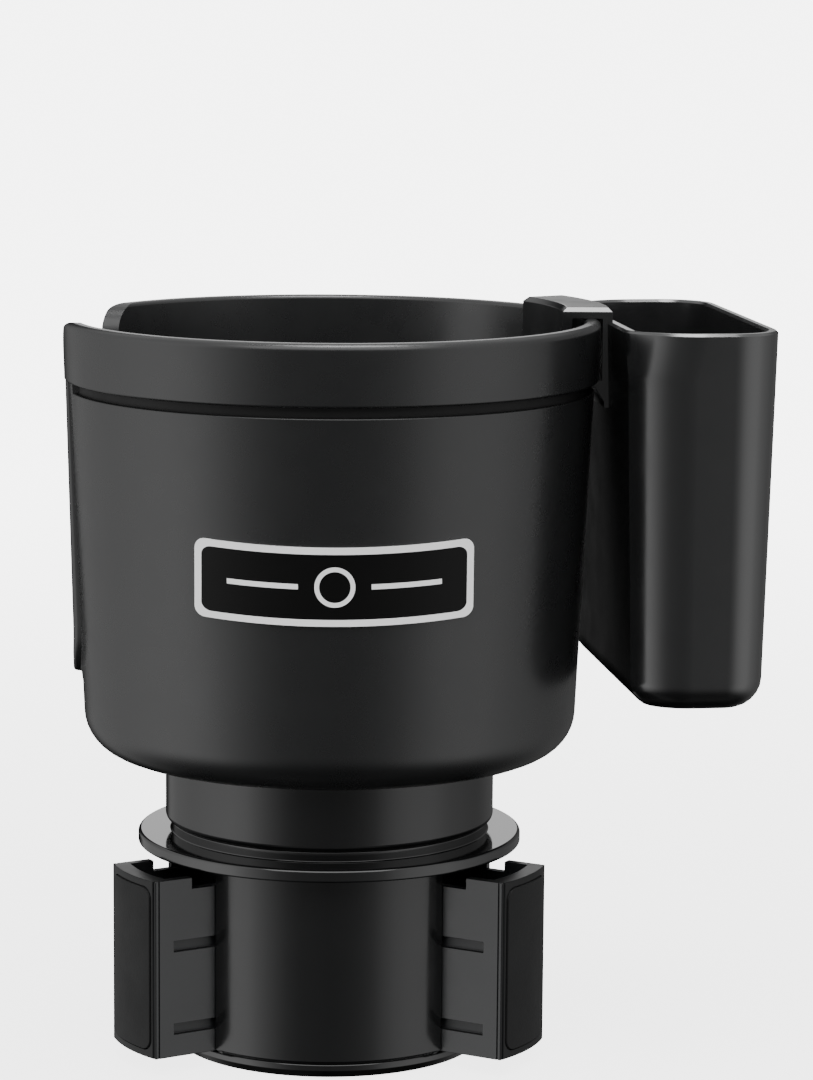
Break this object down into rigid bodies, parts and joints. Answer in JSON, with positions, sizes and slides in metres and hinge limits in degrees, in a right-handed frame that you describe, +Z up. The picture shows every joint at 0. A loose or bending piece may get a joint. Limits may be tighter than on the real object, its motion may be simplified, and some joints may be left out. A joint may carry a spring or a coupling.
{
  "type": "cup holder expander",
  "caption": "Cup holder expander: a wide cup with a handle slot on a turning neck, over a narrow base with gripping arms, and a phone pocket hooked over the rim.",
  "frame": {"origin": "centre of the base cover's flat bottom face, on the axis that the cup turns about", "axes": "+Z up along the turning axis, -Y towards the cup's label, +X towards the side with the phone pocket"},
  "size_m": [0.1419, 0.1084, 0.151],
  "materials": {
    "charcoal": "matte, finely textured",
    "satin_black": "satin",
    "pocket_black": "satin",
    "gloss_black": "gloss",
    "arm_grey": "semi-gloss",
    "scroll_grey": "satin",
    "rubber": "matte",
    "steel": "satin",
    "label": "satin black field in a white frame"
  },
  "bodies": {
    "base": {"base_housing": "satin_black", "base_cover": "gloss_black", "cover_screws": "steel", "pivot_screw": "steel", "pivot_washer": "steel"},
    "arm_left": {"arm_left": "arm_grey", "grip_pad_left": "rubber"},
    "arm_right": {"arm_right": "arm_grey", "grip_pad_right": "rubber"},
    "arm_back": {"arm_back": "arm_grey", "grip_pad_back": "rubber"},
    "cup": {"cup_body": "charcoal", "cup_mat": "rubber", "cup_screws": "steel", "label_plate": "label", "phone_pocket": "pocket_black", "neck": "satin_black", "turn_flange": "gloss_black", "scroll_disc": "scroll_grey", "scroll_screws": "steel", "thrust_ring": "scroll_grey"}
  },
  "joints": [
    {"name": "cup_turn", "type": "hinge", "parent": "base", "child": "cup", "pos_m": [0, 0, 0.05], "axis": [0, 0, 1], "range_deg": [-150, 0]},
    {"name": "arm_left_slide", "type": "slide", "parent": "base", "child": "arm_left", "axis": [-0.866, -0.5, 0], "range_m": [-0.0091, 0]},
    {"name": "arm_right_slide", "type": "slide", "parent": "base", "child": "arm_right", "axis": [0.866, -0.5, 0], "range_m": [-0.0091, 0]},
    {"name": "arm_back_slide", "type": "slide", "parent": "base", "child": "arm_back", "axis": [0, 1, 0], "range_m": [-0.0091, 0]}
  ],
  "couplings": [
    {"joint": "arm_left_slide", "follows": "cup_turn", "m_per_rad": 0.0034377},
    {"joint": "arm_right_slide", "follows": "cup_turn", "m_per_rad": 0.0034377},
    {"joint": "arm_back_slide", "follows": "cup_turn", "m_per_rad": 0.0034377}
  ]
}
